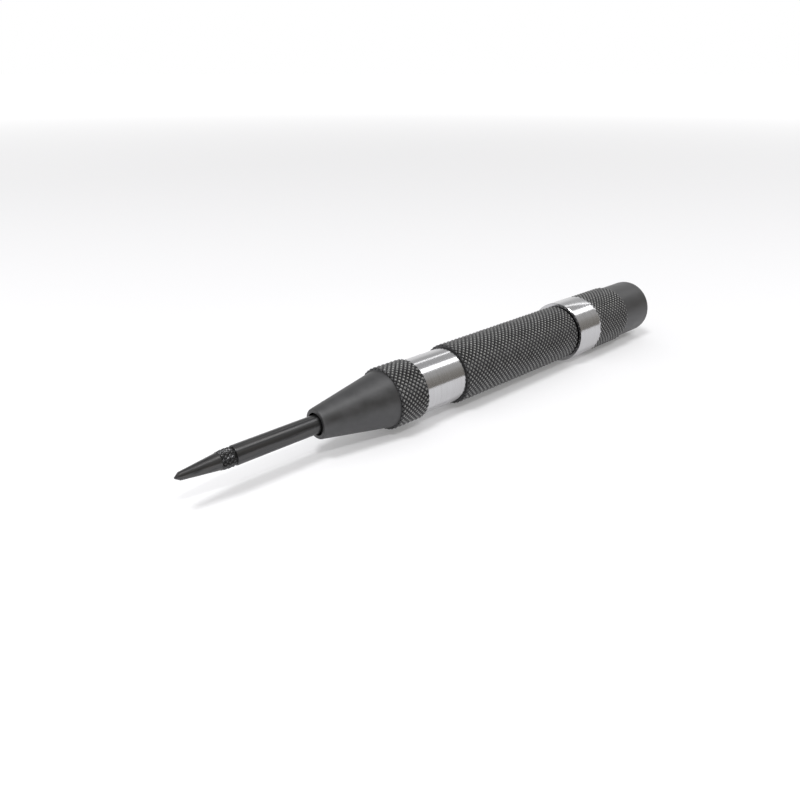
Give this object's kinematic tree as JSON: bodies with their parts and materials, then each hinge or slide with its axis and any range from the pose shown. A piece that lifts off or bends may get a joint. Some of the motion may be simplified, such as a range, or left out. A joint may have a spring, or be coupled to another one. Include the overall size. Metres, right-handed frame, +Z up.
{
  "type": "automatic center punch",
  "caption": "Spring-loaded center punch: slim steel point and plunger rod in a conical nose, knurled grip tube, and a larger knurled screw cap that sets the blow.",
  "frame": {"origin": "on the surface that the tool lies on, under the middle of its length and its axis", "axes": "+X along the tool's axis from the sharp point to the cap, +Z up, +Y to the left of someone looking along +X"},
  "size_m": [0.13, 0.0142, 0.0141],
  "materials": {
    "blackened_tool_steel": "hardened, blackened and ground smooth",
    "hardened_steel": "ground, dull bright",
    "ground_steel": "ground, bright",
    "black_oxide_steel": "black oxide, satin, with turned bright bands on the tube and the cap",
    "spring_steel": "oiled wire"
  },
  "bodies": {
    "housing": {"nose_cone": "black_oxide_steel", "body_tube": "black_oxide_steel", "centering_bush": "ground_steel", "return_spring": "spring_steel", "main_spring": "spring_steel"},
    "plunger": {"punch_point": "blackened_tool_steel", "plunger_rod": "blackened_tool_steel"},
    "trip": {"trip_pin": "hardened_steel"},
    "striker": {"hammer": "hardened_steel"},
    "seat": {"spring_seat": "ground_steel"},
    "cap": {"adjusting_cap": "black_oxide_steel"}
  },
  "joints": [
    {"name": "plunger_slide", "type": "slide", "parent": "housing", "child": "plunger", "axis": [1, 0, 0], "range_m": [0, 0.008], "stiffness_N_per_m": 300, "springref_m": -0.004, "deforming": ["return_spring"]},
    {"name": "trip_pin_tilt", "type": "hinge", "parent": "plunger", "child": "trip", "pos_m": [-0.018, 0, 0.00705], "axis": [0, 1, 0], "range_deg": [0, 2]},
    {"name": "hammer_slide", "type": "slide", "parent": "housing", "child": "striker", "axis": [1, 0, 0], "range_m": [0, 0.008], "stiffness_N_per_m": 3000, "springref_m": -0.006, "deforming": ["main_spring"]},
    {"name": "seat_slide", "type": "slide", "parent": "housing", "child": "seat", "axis": [1, 0, 0], "range_m": [-0.0002, 0.004], "deforming": ["main_spring"]},
    {"name": "cap_turn", "type": "hinge", "parent": "seat", "child": "cap", "pos_m": [0.04, 0, 0.00705], "axis": [-1, 0, 0], "range_deg": [-72, 1440]}
  ],
  "couplings": [
    {"joint": "trip_pin_tilt", "follows": "plunger_slide", "rad_per_m": 4.3633},
    {"joint": "hammer_slide", "follows": "plunger_slide", "ratio": 1},
    {"joint": "cap_turn", "follows": "seat_slide", "rad_per_m": 6283.2}
  ]
}
